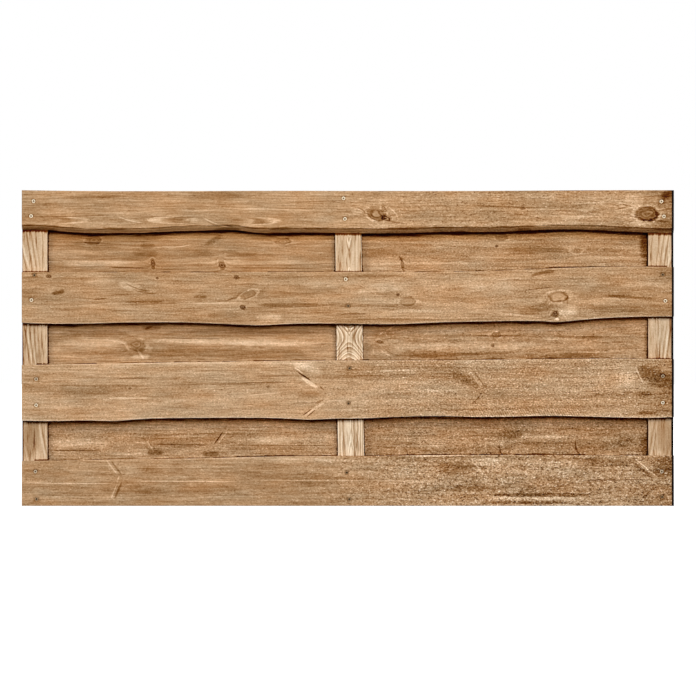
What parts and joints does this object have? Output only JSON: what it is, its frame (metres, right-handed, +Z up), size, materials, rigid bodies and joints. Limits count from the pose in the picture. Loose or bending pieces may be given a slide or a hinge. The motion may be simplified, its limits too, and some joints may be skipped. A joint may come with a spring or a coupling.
{
  "type": "timber fence panel",
  "caption": "Closed garden fence panel of horizontal waney-edged timber boards, fixed alternately to the front and the back of upright battens.",
  "frame": {"origin": "on the outer face of the left batten, at mid height and mid depth", "axes": "+X along the panel from its left post face, +Y from its front to its back, +Z up"},
  "size_m": [1.8, 0.064, 0.8719],
  "materials": {
    "front_boards": "pressure-treated softwood, brown, planed, matt",
    "back_boards": "pressure-treated softwood, brown, planed, matt",
    "battens": "pressure-treated softwood, pale brown, planed, matt"
  },
  "bodies": {
    "root": {"front_board_top": "front_boards", "front_board_upper": "front_boards", "front_board_lower": "front_boards", "front_board_bottom": "front_boards", "back_board_upper": "back_boards", "back_board_middle": "back_boards", "back_board_lower": "back_boards", "batten_left": "battens", "batten_middle": "battens", "batten_right": "battens"}
  },
  "joints": []
}
